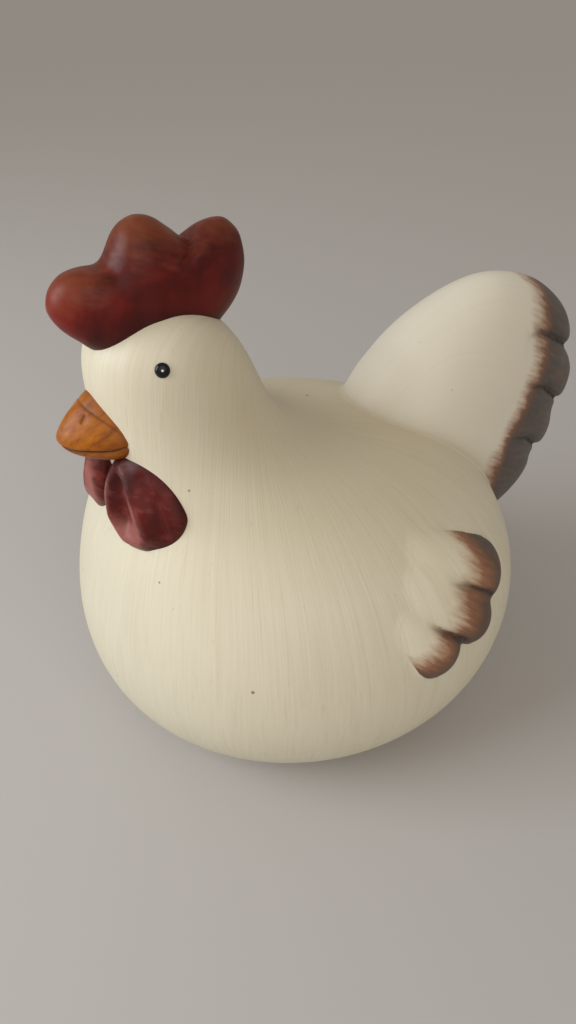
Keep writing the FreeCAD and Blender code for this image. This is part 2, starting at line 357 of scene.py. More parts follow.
def puffed_slab(name, centre, rim, half_thickness, puff, calm):
    """Pulls a flat outline out to both sides in steps, drawing it in towards its centre as it goes.

    The lobes of the outline die away inwards, and are gone where the share of the way out is calm.
    """
    deselect()
    bpy.ops.mesh.primitive_circle_add(
        vertices=SLAB_POINTS, radius=1, fill_type="NGON", location=centre, rotation=(0, math.pi / 2, 0))
    slab = bpy.context.object
    slab.name = name
    bpy.ops.object.transform_apply()
    for vertex in slab.data.vertices:
        spoke = vertex.co - centre
        degrees = math.degrees(math.atan2(spoke.z, spoke.y))
        vertex.co = centre + spoke.normalized() * rim_reach(rim, degrees)
    edit_all(slab)
    x, share = 0, 1
    for degrees in (9, 18, 28, 38, 49, 60, 72, 82):
        turn = math.radians(degrees)
        new_x = half_thickness * math.sin(turn)
        new_share = math.cos(turn) ** puff
        bpy.ops.mesh.extrude_region_move(TRANSFORM_OT_translate={"value": (new_x - x, 0, 0)})
        shrink = new_share / share
        bpy.ops.transform.resize(value=(1, shrink, shrink), center_override=centre)
        x, share = new_x, new_share
    bpy.ops.mesh.select_all(action="DESELECT")
    bpy.ops.object.mode_set(mode="OBJECT")
    places = points_of(slab)[0]
    turns = np.arctan2(places[:, 2] - centre.z, places[:, 1] - centre.y)
    share = np.cos(np.arcsin(np.clip(places[:, 0] / half_thickness, 0, 1))) ** puff
    lobed = np.clip((share - calm) / (1 - calm), 0, 1)
    lobed = lobed ** 2 * (3 - 2 * lobed)
    smooth = sum(rim_reach(rim, np.degrees(turns) + step) for step in range(-36, 37, 6)) / 13
    out = share * between(smooth, rim_reach(rim, np.degrees(turns)), lobed)
    places[:, 1], places[:, 2] = centre.y + out * np.cos(turns), centre.z + out * np.sin(turns)
    move_points(slab, places)
    for face in slab.data.polygons:
        face.select = len(face.vertices) > 4 and abs(face.center.x) < 1e-5
    bpy.ops.object.mode_set(mode="EDIT")
    bpy.ops.mesh.delete(type="ONLY_FACE")
    bpy.ops.object.mode_set(mode="OBJECT")
    apply_modifier(slab, "MIRROR", use_axis=(True, False, False), use_clip=True, merge_threshold=1e-5)
    faces_outwards(slab)
    apply_modifier(slab, "SUBSURF", levels=2, render_levels=2)
    print(name, len(slab.data.polygons), "faces, size", tuple(round(v, 4) for v in slab.dimensions))
    return slab


fan = puffed_slab("tail_fan", TAIL_ROOT, TAIL_RIM, TAIL_HALF_THICKNESS, TAIL_PUFF, TAIL_CALM)

# %% [markdown]
# ## The wings
# Each wing is a low pad on the flank that ends in three feathers. A feather is a ball that is pulled long
# and flattened, and the pad is made the same way. All four are laid out flat first, since that is how
# their outline is known, and then wrapped onto the flank, each point as high over it as it lay when flat.

# %% Sizes of the feathers
# front end and tip centre as y and z in mm, half width and lift in mm
FEATHERS = [
    ((-6, 195), (63, 149), 17.5, 1.6),
    ((-18, 179), (46, 130), 16.5, 0.6),
    ((-32, 174), (12.5, 125), 20, 0)]
WING_PAD = ((-34, 188), (24, 160), 26, 0.3)
FEATHER_HALF_THICKNESS = 11.5 * MM
FEATHER_SINK = 2.0 * MM
WING_DIP = 17 * MM
WING_DIP_LENGTH = 95 * MM
WING_TOP = 203 * MM


def make_feather(front, tip, half_width, lift):
    """A ball whose one half is drawn back to the front end, narrowed there, and flattened."""
    front, tip, half_width = Vector(front) * MM, Vector(tip) * MM, half_width * MM
    slope = math.atan2(tip.y - front.y, tip.x - front.x)
    length = (tip - front).length
    deselect()
    bpy.ops.mesh.primitive_uv_sphere_add(segments=32, ring_count=24, radius=half_width)
    feather = bpy.context.object
    bpy.ops.object.mode_set(mode="EDIT")
    bpy.ops.mesh.select_all(action="DESELECT")
    bpy.ops.object.mode_set(mode="OBJECT")
    for vertex in feather.data.vertices:
        vertex.select = vertex.co.y < -1e-5
    bpy.ops.object.mode_set(mode="EDIT")
    bpy.ops.transform.resize(value=(0.8, 1, 0.8), center_override=(0, 0, 0))
    bpy.ops.transform.translate(value=(0, -length, 0))
    bpy.ops.mesh.select_all(action="SELECT")
    flat = FEATHER_HALF_THICKNESS / half_width
    bpy.ops.transform.resize(value=(flat, 1, 1), center_override=(0, 0, 0))
    bpy.ops.transform.rotate(value=-slope, orient_axis="X", center_override=(0, 0, 0))
    bpy.ops.transform.translate(value=(lift * MM - FEATHER_SINK, tip.x, tip.y))
    bpy.ops.object.mode_set(mode="OBJECT")
    return feather


def wrap_on_flank(piece):
    """Lays a flat piece on the left flank. Its front dips into the clay, so that it fades out there."""
    for vertex in piece.data.vertices:
        height, y, z = vertex.co
        along = (y + 45 * MM) * 0.75 - (z - 175 * MM) * 0.66
        dip = WING_DIP * max(0.0, 1 - max(along, 0) / WING_DIP_LENGTH) ** 1.4
        place, normal = hit_from_side(y, min(z, WING_TOP))
        vertex.co = place + normal * (height - dip)


def mirrored_copy(piece, name):
    """The same piece on the other side."""
    copy = copy_of(piece, name)
    edit_all(copy)
    bpy.ops.transform.resize(value=(-1, 1, 1), center_override=(0, 0, 0))
    bpy.ops.object.mode_set(mode="OBJECT")
    faces_outwards(copy)
    return copy


feathers = [make_feather(*feather) for feather in FEATHERS + [WING_PAD]]
take(*feathers)
bpy.ops.object.join()
wing = bpy.context.object
wing.name = "wing_pad"
apply_modifier(wing, "REMESH", mode="VOXEL", voxel_size=1.6 * MM)
apply_modifier(wing, "SMOOTH", factor=0.5, iterations=4)
wrap_on_flank(wing)
other_wing = mirrored_copy(wing, "other_wing_pad")
print("wings", len(wing.data.polygons), "faces each")

# %% [markdown]
# ## One lump of clay, then separate pieces
# On the real hen the tail and the wings are worked into the body while the clay is soft, so their roots
# flow into it. Joining the shapes and remeshing them as one lump gives that soft root, and smoothing
# rounds it. The lump is then parted again along a skin a little outside the body, which leaves the body,
# the tail and each wing as closed pieces whose surfaces still run on from one to the next.

# %% Melt and smooth
lump = copy_of(form, "clay_lump")
take(lump, fan, wing, other_wing)
bpy.ops.object.join()
apply_modifier(lump, "REMESH", mode="VOXEL", voxel_size=1.7 * MM)
apply_modifier(lump, "SMOOTH", factor=0.5, iterations=7)
print("lump", len(lump.data.polygons), "faces")


# %% Part the lump
def cut_piece(source, name, tool, operation):
    """A copy of a piece after one Boolean step."""
    piece = copy_of(source, name)
    apply_modifier(piece, "BOOLEAN", object=tool, operation=operation, solver="MANIFOLD")
    return piece


body = cut_piece(lump, "hen_body", parting, "INTERSECT")
extras = cut_piece(lump, "hen_extras", parting, "DIFFERENCE")
take(extras)
bpy.ops.mesh.separate(type="LOOSE")
shells = list(bpy.context.selected_objects)
kept = {}
for shell in shells:
    centre = sum((Vector(c) for c in shell.bound_box), Vector()) / 8
    big = len(shell.data.polygons) > 500
    name = None
    if big and abs(centre.x) < 0.02 and centre.y > 0.1:
        name = "hen_tail"
    elif big and centre.x > 0.05:
        name = "hen_wing_left"
    elif big and centre.x < -0.05:
        name = "hen_wing_right"
    if name and name not in kept:
        shell.name = name
        kept[name] = shell
    else:
        bpy.data.objects.remove(shell)
print("parted into", {name: len(piece.data.polygons) for name, piece in kept.items()},
      "body", len(body.data.polygons), "from", len(shells), "shells")

# %% [markdown]
# The body is far finer than it needs to be, so it is thinned first. Then it is hollowed, as slip casting
# leaves it, and gets the round hole in its base through which the slip was poured out.

# %% Hollow the body
POUR_HOLE_RADIUS = 13 * MM
POUR_HOLE_BEHIND = 35 * MM
apply_modifier(body, "DECIMATE", ratio=0.42)
apply_modifier(hollow, "REMESH", mode="VOXEL", voxel_size=4 * MM)
apply_modifier(hollow, "SMOOTH", factor=0.5, iterations=4)
apply_modifier(body, "BOOLEAN", object=hollow, operation="DIFFERENCE", solver="MANIFOLD")
deselect()
bpy.ops.mesh.primitive_cylinder_add(
    vertices=48, radius=POUR_HOLE_RADIUS, depth=30 * MM, location=(0, POUR_HOLE_BEHIND, 0))
plug = bpy.context.object
apply_modifier(body, "BOOLEAN", object=plug, operation="DIFFERENCE", solver="MANIFOLD")
bpy.data.objects.remove(plug)
print("body", triangles(body), "triangles")

# %% [markdown]
# ## Creases
# The rim of the tail is pressed into four feathers by three creases that run inwards, and each wing into
# three by two short ones. A real maker draws a tool through the soft clay, so that is what this helper
# does: points near a path go in along their own normal, and the groove fades out near the path's end.


# %% Press creases into the tail and the wings
def beside_path(flat, path):
    """How far flat points lie from a path, and how far along it their nearest place is, from 0 to 1."""
    path = np.array(path, float) * MM
    steps = np.linalg.norm(np.diff(path, axis=0), axis=1)
    gap = np.full(len(flat), 1e9)
    along = np.zeros(len(flat))
    gone = 0
    for start, end, step in zip(path[:-1], path[1:], steps):
        share = np.clip((flat - start) @ (end - start) / step ** 2, 0, 1)
        distance = np.linalg.norm(flat - start - share[:, None] * (end - start), axis=1)
        nearer = distance < gap
        gap[nearer] = distance[nearer]
        along[nearer] = (gone + share[nearer] * step) / steps.sum()
        gone += step
    return gap, along


def press_crease(piece, path, depth, width, sharp=True):
    """Presses a groove along a path in the upright plane, fading out towards the path's end."""
    places, facings = points_of(piece)
    gap, along = beside_path(places[:, 1:], path)
    profile = np.exp(-gap / width) if sharp else np.exp(-(gap / width) ** 2)
    push = depth * profile * (1 - along ** 4)
    move_points(piece, places - facings * push[:, None])


TAIL_CREASES = [
    [(258, 211), (244, 219), (206, 240), (187, 246), (173, 246)],
    [(254, 166), (243, 172), (202, 202), (170, 214)],
    [(237, 127), (218, 141), (186, 166), (154, 178)]]

tail = kept["hen_tail"]
for crease in TAIL_CREASES:
    press_crease(tail, crease, 4.5 * MM, 2.6 * MM)
    press_crease(tail, [(y - 3, z - 6) for y, z in crease], 2.2 * MM, 7 * MM, sharp=False)
WING_CREASES = [[(63, 139), (57, 145), (27, 163)], [(34, 123), (28, 129), (5, 146)]]
for piece in (kept["hen_wing_left"], kept["hen_wing_right"]):
    for crease in WING_CREASES:
        press_crease(piece, crease, 3.2 * MM, 2.0 * MM)
print("tail", triangles(tail), "triangles")

# %% [markdown]
# ## The comb
# The comb is another puffed slab, so the tail's way of making one serves again. Its three lobes are in
# the outline. A sharp crease parts the middle lobe from the rear one, and a soft one marks off the front.

# %% Sizes of the comb
COMB_CENTRE = Vector((0, -92 * MM, 316 * MM))
COMB_RIM = [
    (-90, 33), (-55, 39), (-39, 42), (-21, 47), (-3, 57), (12, 62.5), (27, 65), (38, 62), (44, 53),
    (49, 43), (56, 39.5), (68, 41), (80, 44.5), (90, 45.5), (100, 43.5), (115, 37.5), (133, 34),
    (145, 41), (153, 48), (163, 52.5), (174, 53.5), (185, 48.5), (198, 41.5), (211, 38), (235, 35)]

COMB_HALF_THICKNESS = 22 * MM
COMB_PUFF = 0.75
COMB_CALM = 0.45

comb = puffed_slab("hen_comb", COMB_CENTRE, COMB_RIM, COMB_HALF_THICKNESS, COMB_PUFF, COMB_CALM)
apply_modifier(comb, "REMESH", mode="VOXEL", voxel_size=1.2 * MM)
apply_modifier(comb, "SMOOTH", factor=0.5, iterations=10)
for vertex in comb.data.vertices:
    vertex.co.x *= 1 - 0.22 * max(vertex.co.y - COMB_CENTRE.y, 0) / (50 * MM)
press_crease(comb, [(-64, 350), (-71, 341), (-80, 336)], 4.5 * MM, 2.6 * MM)
press_crease(comb, [(-112, 342), (-104, 326), (-99, 310)], 2.4 * MM, 9 * MM, sharp=False)
apply_modifier(comb, "SMOOTH", factor=0.5, iterations=2)
apply_modifier(comb, "BOOLEAN", object=bedding, operation="DIFFERENCE", solver="MANIFOLD")
print("comb", len(comb.data.polygons), "faces")

# %% [markdown]
# ## The beak
# The beak is a blunt wedge, widest low down. It is drawn out of the face by extruding a ring and
# narrowing it step by step. The mouth is a line pressed round the tip, with a nostril on each side.

# %% Draw the beak out of the face
BEAK_LEVEL = CROWN_HEIGHT - 57.5 * MM
FACE = hit_from_front(0, BEAK_LEVEL)[0].y
BEAK_SEAT = FACE + 23 * MM
BEAK_TIP = FACE - 23 * MM
BEAK_DROOP = 9.5 * MM
BEAK_HALF_WIDTH = 30.0 * MM
BEAK_HALF_HEIGHT = 23 * MM
# share of the way from the seat to the tip, and size there
BEAK_STEPS = [
    (0.25, 0.985), (0.45, 0.90), (0.62, 0.745), (0.78, 0.55), (0.90, 0.36), (0.97, 0.20), (1.0, 0.10)]

deselect()
bpy.ops.mesh.primitive_circle_add(
    vertices=24, radius=1, fill_type="NGON", location=(0, BEAK_SEAT, BEAK_LEVEL),
    rotation=(math.pi / 2, 0, 0))
beak = bpy.context.object
beak.name = "hen_beak"
bpy.ops.object.transform_apply()
for vertex in beak.data.vertices:
    across, up = vertex.co.x, vertex.co.z - BEAK_LEVEL
    vertex.co.x = across * BEAK_HALF_WIDTH * (1 - 0.36 * up) / 1.08
    vertex.co.z = BEAK_LEVEL + up * BEAK_HALF_HEIGHT
edit_all(beak)
gone, size = 0, 1
for share, new_size in BEAK_STEPS:
    step = share - gone
    move = (0, (BEAK_TIP - BEAK_SEAT) * step, -BEAK_DROOP * step)
    bpy.ops.mesh.extrude_region_move(TRANSFORM_OT_translate={"value": move})
    middle = (0, between(BEAK_SEAT, BEAK_TIP, share), BEAK_LEVEL - BEAK_DROOP * share)
    bpy.ops.transform.resize(value=(new_size / size,) * 3, center_override=middle)
    gone, size = share, new_size
bpy.ops.object.mode_set(mode="OBJECT")
faces_outwards(beak)
apply_modifier(beak, "SUBSURF", levels=4, render_levels=4)
MOUTH = [(-158, 246.5), (-145, 245.5), (-130, 246.5), (-114, 250.5)]
NOSTRIL = [(-139.5, 261), (-136, 265)]
CHEEK_LINE = [(-136, 268), (-126, 259), (-119, 251)]
press_crease(beak, MOUTH, 2.2 * MM, 0.8 * MM)
press_crease(beak, NOSTRIL, 1.0 * MM, 0.5 * MM)
press_crease(beak, CHEEK_LINE, 0.5 * MM, 0.7 * MM)
apply_modifier(beak, "BOOLEAN", object=bedding, operation="DIFFERENCE", solver="MANIFOLD")
print("beak", len(beak.data.polygons), "faces, from", round(BEAK_TIP, 4))

# %% [markdown]
# ## The wattles
# Under the beak hang two pads. Each is a ball flattened to a drop, with a ridge that runs round like a
# second, smaller drop, and a hollow inside that. It is shaped facing forwards and then turned onto the face.


# %% Shape one wattle
def shape_along(piece, path, height, width, fade=0.0):
    """Raises points that face forwards along a path of x and z, or sinks them where height is below 0."""
    places, facings = points_of(piece)
    gap, along = beside_path(places[:, [0, 2]], path)
    faces_front = np.clip(-2.2 * facings[:, 1] - 0.5, 0, 1)
    places[:, 1] -= height * np.exp(-(gap / width) ** 2) * (1 - along * fade) * faces_front
    move_points(piece, places)


WATTLE_X, WATTLE_LEVEL = 31.0 * MM, 211.5 * MM
WATTLE_TURN = math.radians(27)
WATTLE_RIDGE = [
    (-15, 22), (-20, 8), (-18, -8), (-8, -20), (5, -20), (11, -10), (6, 4), (-5, 17), (-12, 24)]

deselect()
bpy.ops.mesh.primitive_uv_sphere_add(segments=48, ring_count=32, radius=1)
wattle = bpy.context.object
wattle.name = "hen_wattle_left"
for vertex in wattle.data.vertices:
    narrowed = 1 - 0.30 * max(vertex.co.z, 0)
    vertex.co = (vertex.co.x * 30 * MM * narrowed - 5 * MM * max(vertex.co.z, 0),
                 (vertex.co.y * 13 + vertex.co.z * 4.6 + 2.5) * MM, vertex.co.z * 33 * MM)
apply_modifier(wattle, "SUBSURF", levels=2, render_levels=2)
shape_along(wattle, WATTLE_RIDGE, 3.0 * MM, 4.0 * MM)
shape_along(wattle, [(-7, -8), (-9, 4), (-11, 14)], -5.5 * MM, 5.5 * MM, fade=0.4)
shape_along(wattle, [(19, -9), (15, 4), (4, 20)], -2.6 * MM, 3.2 * MM, fade=0.4)
apply_modifier(wattle, "SMOOTH", factor=0.5, iterations=9)
edit_all(wattle)
bpy.ops.transform.rotate(value=-WATTLE_TURN, orient_axis="Z", center_override=(0, 0, 0))
bpy.ops.transform.translate(value=hit_from_front(WATTLE_X, WATTLE_LEVEL)[0])
bpy.ops.object.mode_set(mode="OBJECT")
apply_modifier(wattle, "BOOLEAN", object=bedding, operation="DIFFERENCE", solver="MANIFOLD")
apply_modifier(wattle, "BOOLEAN", object=beak, operation="DIFFERENCE", solver="MANIFOLD")
other_wattle = mirrored_copy(wattle, "hen_wattle_right")
print("wattles", len(wattle.data.polygons), "faces each")

# %% [markdown]
# ## The eyes
# Each eye is a small domed bead of black glaze with a dot of white paint in its middle.

# %% Set the eyes
EYE_RADIUS = 4 * MM
EYE_DOT_RADIUS = 0.7 * MM
eye_place, eye_normal = hit_from_side(-101.5 * MM, 294 * MM)
deselect()
bpy.ops.mesh.primitive_uv_sphere_add(segments=48, ring_count=32, radius=EYE_RADIUS)
eye = bpy.context.object
eye.name = "hen_eye_left"
edit_all(eye)
bpy.ops.transform.resize(value=(1, 1, 0.55), center_override=(0, 0, 0))
bpy.ops.object.mode_set(mode="OBJECT")
eye.rotation_euler = eye_normal.to_track_quat("Z", "Y").to_euler()
eye.location = eye_place
take(eye)
bpy.ops.object.transform_apply()
apply_modifier(eye, "BOOLEAN", object=bedding, operation="DIFFERENCE", solver="MANIFOLD")
other_eye = mirrored_copy(eye, "hen_eye_right")
print("eye at", tuple(round(v, 4) for v in eye_place))

# %% [markdown]
# ## Where the paint goes
# The painter worked by feature: dark at the feather tips, darkest in the creases, rubbed lighter on the
# high places. The dark in the tail and wing creases and along the tail's root is dark paint and painted
# shade together. Numbers from 0 to 1 stored on the points carry that to the finishes. Tip and line stand for
# feather tips and pressed lines, out for where the strokes follow the feathers, foot for what lies close
# to the body, rub for worn places, and rose for where the worn red is pink.


# %% Store the paint plan on the points
def store(piece, name, values):
    """Stores one number for each point of a piece."""
    attribute = piece.data.attributes.new(name, "FLOAT", "POINT")
    attribute.data.foreach_set("value", np.clip(values, 0, 1).astype(np.float32))


def near_path(piece, path, width):
    """1 on a path and fading to 0 beside it."""
    gap, along = beside_path(points_of(piece)[0][:, 1:], path)
    return np.exp(-(gap / width) ** 2) * (1 - along ** 3)


# level across the feathers in mm, how far along them the paint starts, and where it is nearly black
TAIL_PAINT = [
    (176, 44, 72), (204, 29, 57), (211, 27, 54), (231, 30, 49), (259, 33, 55), (292, 35, 60),
    (313, 27, 54), (332, 24, 48), (345, 8, 38)]
FEATHER_SLOPE = math.radians(30)
FEATHER_WAY = np.array([math.cos(FEATHER_SLOPE), -math.sin(FEATHER_SLOPE)])
places = points_of(tail)[0]
along = places[:, 1:] @ FEATHER_WAY / MM
across = (places[:, 2] * FEATHER_WAY[0] - places[:, 1] * FEATHER_WAY[1]) / MM
levels, starts, blacks = zip(*TAIL_PAINT)
start, black = np.interp(across, levels, starts), np.interp(across, levels, blacks)
store(tail, "tip", (along - start) / (black - start) / 2)
store(tail, "out", (along - 5) / 35)
# the line value marks the creases, which the finish darkens with dark paint and painted shade
store(tail, "line", sum(near_path(tail, crease, 2.4 * MM) for crease in TAIL_CREASES))

# how far in mm the paint of each wing feather reaches inwards
FEATHER_FADES = [52, 50, 38]


def feather_paint(piece):
    """Tip and line values of a wing, from how far each point lies inside its feather."""
    flat = points_of(piece)[0][:, 1:]
    tip = np.zeros(len(flat))
    best = np.full(len(flat), 1e9)
    for (front, end, half_width, lift), fade in zip(FEATHERS, FEATHER_FADES):
        front, end, half_width = np.array(front) * MM, np.array(end) * MM, half_width * MM
        way = (end - front) / np.linalg.norm(end - front)
        spoke = flat - end
        along = spoke @ way
        side = np.abs(spoke[:, 0] * way[1] - spoke[:, 1] * way[0])
        inward = np.sqrt(np.maximum(half_width ** 2 - side ** 2, 0)) - along
        nearest = side / half_width
        nearer = nearest < best
        best[nearer] = nearest[nearer]
        tip[nearer] = (1 - inward / (fade * MM))[nearer]
    line = sum(near_path(piece, crease, 1.8 * MM) for crease in WING_CREASES)
    return tip, line


for piece in (kept["hen_wing_left"], kept["hen_wing_right"]):
    tip, line = feather_paint(piece)
    store(piece, "tip", tip)
    store(piece, "line", line)
    store(piece, "out", tip * 0)
    store(piece, "foot", tip * 0)


def lift_over_clay(piece):
    """How far each point of a piece stands off the body form."""
    tree = BVHTree.FromObject(form, bpy.context.evaluated_depsgraph_get())
    return np.array([tree.find_nearest(vertex.co)[3] for vertex in piece.data.vertices])


for piece in (tail, comb, wattle, other_wattle, beak):
    store(piece, "foot", np.exp(-lift_over_clay(piece) / (5 * MM)))
places = points_of(comb)[0]
front = np.clip((-0.108 - places[:, 1]) / 0.014, 0, 1)
store(comb, "rub", np.clip((places[:, 2] - 0.326 + front * 0.014) / 0.034, 0, 1) * 0.85)
store(comb, "rose", front * 0)
for piece in (wattle, other_wattle):
    flat = points_of(piece)[0][:, [0, 2]] * [1 if piece is wattle else -1, 1] - [WATTLE_X, WATTLE_LEVEL]
    across, up = flat[:, 0] / math.cos(WATTLE_TURN), flat[:, 1]
    lower = np.exp(-(((across + 4e-3) / 16e-3) ** 2 + ((up + 19e-3) / 8e-3) ** 2))
    left = np.exp(-(((across + 19e-3) / 5e-3) ** 2 + ((up + 2e-3) / 16e-3) ** 2))
    ridge = np.exp(-(((across - 2e-3 + up * 0.35) / 5e-3) ** 2 + ((up - 1e-3) / 19e-3) ** 2))
    store(piece, "rub", 1.2 * lower + 1.0 * left + 1.0 * ridge + 0.25)
    store(piece, "rose", across * 0 + 1)
    store(piece, "line", np.exp(-(((across + 10e-3) / 6e-3) ** 2 + ((up - 5e-3) / 14e-3) ** 2)))
store(beak, "line", near_path(beak, MOUTH, 0.9 * MM) + 0.6 * near_path(beak, NOSTRIL, 0.7 * MM)
      + 0.6 * near_path(beak, CHEEK_LINE, 0.6 * MM))
for piece in (eye, other_eye):
    side = [1 if piece is eye else -1, 1, 1]
    outward = np.array(eye_normal) * side
    spokes = points_of(piece)[0] - np.array(eye_place) * side
    off_axis = np.linalg.norm(spokes - (spokes @ outward)[:, None] * outward, axis=1)
    store(piece, "line", (off_axis < EYE_DOT_RADIUS) & (spokes @ outward > 0))
print("paint plan stored")

# %% [markdown]
# ## Finishes
# All the paint is brushed by hand over fired clay. The finishes are built from nodes that read Object
# coordinates, so that the strokes run on from one piece to the next where the pieces meet.


# %% Helpers for finishes
def new_finish(name):
    """An empty finish: its material, its node tree, its shader and the Object coordinates."""
    finish = bpy.data.materials.new(name)
    finish.use_nodes = True
    tree = finish.node_tree
    return finish, tree, tree.nodes["Principled BSDF"], add_node(tree, "TexCoord").outputs["Object"]


def add_node(tree, kind, inputs=None, **settings):
    """Adds a node. An input is filled with a value, or joined where another node's output is given."""
    node = tree.nodes.new("ShaderNode" + kind)
    for key, value in settings.items():
        setattr(node, key, value)
    for key, value in (inputs or {}).items():
        if isinstance(value, bpy.types.NodeSocket):
            tree.links.new(value, node.inputs[key])
        else:
            node.inputs[key].default_value = value
    return node


def maths(tree, operation, a, b=0.0, c=0.0, clamp=False):
    """One sum on numbers or outputs."""
    node = add_node(tree, "Math", {0: a, 1: b, 2: c}, operation=operation, use_clamp=clamp)
    return node.outputs[0]


def vector_maths(tree, operation, a, b=(0, 0, 0)):
    """One sum on vectors. In a scaling, b is a number."""
    second = "Scale" if operation == "SCALE" else 1
    return add_node(tree, "VectorMath", {0: a, second: b}, operation=operation).outputs[0]


def mix(tree, share, first, second):
    """Mixes two colours by a share."""
    node = add_node(tree, "Mix", {0: share, 6: first, 7: second}, data_type="RGBA")
    return node.outputs[2]


def ramp(tree, value, *stops):
    """Turns a number into a colour through stops of position and colour."""
    node = add_node(tree, "ValToRGB", {"Fac": value})
    elements = node.color_ramp.elements
    for element, (position, colour) in ((elements[1], stops[-1]), (elements[0], stops[0])):
        element.position = position
        element.color = (*colour, 1)
    for position, colour in stops[1:-1]:
        elements.new(position).color = (*colour, 1)
    return node.outputs["Color"]


def grey(tree, value, *stops):
    """Turns a number into another number through stops of position and value."""
    return ramp(tree, value, *[(position, (level, level, level)) for position, level in stops])


def noise(tree, vector, scale, detail=3.0, roughness=0.55, distortion=0.0):
    """A cloud of numbers around one half."""
    inputs = {"Vector": vector, "Scale": scale, "Detail": detail, "Roughness": roughness,
              "Distortion": distortion}
    return add_node(tree, "TexNoise", inputs).outputs["Fac"]


def stored(tree, name):
    """A number stored on the points."""
    return add_node(tree, "Attribute", attribute_name=name).outputs["Fac"]


def stretched(tree, coords, scale, turn=(0, 0, 0)):
    """Coordinates turned first and scaled after, so that a noise on them becomes strokes."""
    turned = add_node(tree, "Mapping", {"Vector": coords, "Rotation": turn}).outputs["Vector"]
    return add_node(tree, "Mapping", {"Vector": turned, "Scale": scale}).outputs["Vector"]


# %% [markdown]
# The cream paint was dragged down over the fat body in long strokes that run like the lines of longitude
# on a globe. Strokes like that come from a noise that changes fast with the direction round the body and
# slowly with height. A thin brown wash lies in the strokes, and a few specks and scuffs lie on top.


# %% Cream paint
def long_strokes(tree, coords, round_scale, height_scale):
    """Coordinates that change fast round the body and slowly up it."""
    centred = vector_maths(tree, "ADD", coords, (0, 0.035, 0))
    level = vector_maths(tree, "MULTIPLY", centred, (1, 1, 0))
    outward = vector_maths(tree, "NORMALIZE", level)
    height = vector_maths(tree, "MULTIPLY", coords, (0, 0, height_scale))
    sway = vector_maths(tree, "MULTIPLY", coords, (6, 6, 6))
    wobble = add_node(tree, "TexNoise", {"Vector": sway, "Scale": 1.0, "Detail": 1.0}).outputs["Color"]
    lean = vector_maths(tree, "SCALE", wobble, 3.0)
    scaled = vector_maths(tree, "SCALE", outward, round_scale)
    return vector_maths(tree, "ADD", vector_maths(tree, "ADD", scaled, height), lean)


def specks(tree, coords, scale, size, share):
    """Small scattered dots: 1 inside a dot. Only some of the cells have one."""
    cells = add_node(tree, "TexVoronoi", {"Vector": coords, "Scale": scale, "Randomness": 1.0})
    inside = grey(tree, cells.outputs["Distance"], (size * 0.6, 1), (size, 0))
    picked = add_node(tree, "SeparateColor", {"Color": cells.outputs["Color"]}).outputs[0]
    return maths(tree, "MULTIPLY", inside, maths(tree, "LESS_THAN", picked, share))


def cream_paint(tree, coords, feathered=False):
    """The colour, roughness and height of the cream paint. On feathers the strokes turn their way.

    The neck and the upper back are darkened with painted shade.
    """
    fine = noise(tree, long_strokes(tree, coords, 88, 20), 1.0, 5.0, 0.65)
    broad = noise(tree, long_strokes(tree, coords, 20, 7), 1.0, 3.0, 0.55)
    if feathered:
        way = (FEATHER_SLOPE, 0, 0)
        combed = noise(tree, stretched(tree, coords, (150, 26, 330), way), 1.0, 4.0, 0.6)
        combed_broad = noise(tree, stretched(tree, coords, (40, 9, 70), way), 1.0, 3.0, 0.55)
        fine = mix(tree, stored(tree, "out"), fine, combed)
        broad = mix(tree, stored(tree, "out"), broad, combed_broad)
    cloud = noise(tree, coords, 9.0, 2.0, 0.5)
    colour = ramp(tree, fine, (0.26, (0.620, 0.550, 0.395)), (0.42, (0.690, 0.630, 0.475)),
                  (0.76, (0.725, 0.672, 0.522)))
    wash = grey(tree, broad, (0.42, 0), (0.80, 0.26))
    colour = mix(tree, wash, colour, (0.560, 0.485, 0.325, 1))
    spot = add_node(tree, "SeparateXYZ", {"Vector": coords}).outputs
    height_share = maths(tree, "MULTIPLY", spot["Z"], 3.0)
    # painted shade: the neck and the upper back are darkened by height and by how far back they lie
    high = grey(tree, height_share, (0.50, 0), (0.62, 1), (0.78, 1), (0.92, 0.5))
    behind = grey(tree, maths(tree, "MULTIPLY_ADD", spot["Y"], 2.0, 0.5), (0.24, 0), (0.38, 1))
    painted_back_shade = maths(tree, "MULTIPLY", maths(tree, "MULTIPLY", high, behind), 0.5)
    colour = mix(tree, painted_back_shade, colour, (0.500, 0.420, 0.270, 1))
    patch = grey(tree, cloud, (0.42, 0), (0.75, 0.35))
    colour = mix(tree, patch, colour, (0.610, 0.580, 0.450, 1))
    scuffs = noise(tree, stretched(tree, coords, (260, 260, 30)), 1.0, 2.0)
    thin = grey(tree, scuffs, (0.68, 0), (0.76, 0.22))
    colour = mix(tree, thin, colour, (0.430, 0.360, 0.240, 1))
    large, small = specks(tree, coords, 30.0, 0.040, 0.55), specks(tree, coords, 75.0, 0.060, 0.20)
    dots = maths(tree, "MAXIMUM", large, small)
    colour = mix(tree, maths(tree, "MULTIPLY", dots, 0.8), colour, (0.120, 0.085, 0.050, 1))
    rough = grey(tree, fine, (0.3, 0.52), (0.7, 0.38))
    height = maths(tree, "ADD", fine, maths(tree, "MULTIPLY", broad, 0.8))
    return colour, rough, height


def finish_surface(tree, shader, colour, rough, height, depth, shine):
    """Joins colour, roughness and a bump of a given depth to the shader, and sets how much it shines."""
    shader.inputs["Specular IOR Level"].default_value = shine
    bump = add_node(tree, "Bump", {"Height": height, "Strength": 0.35, "Distance": depth})
    tree.links.new(colour, shader.inputs["Base Color"])
    tree.links.new(rough, shader.inputs["Roughness"])
    tree.links.new(bump.outputs["Normal"], shader.inputs["Normal"])


cream, tree, shader, coords = new_finish("cream_paint")
colour, rough, height = cream_paint(tree, coords)
finish_surface(tree, shader, colour, rough, height, 0.5 * MM, 0.5)
print("cream paint has", len(tree.nodes), "nodes")

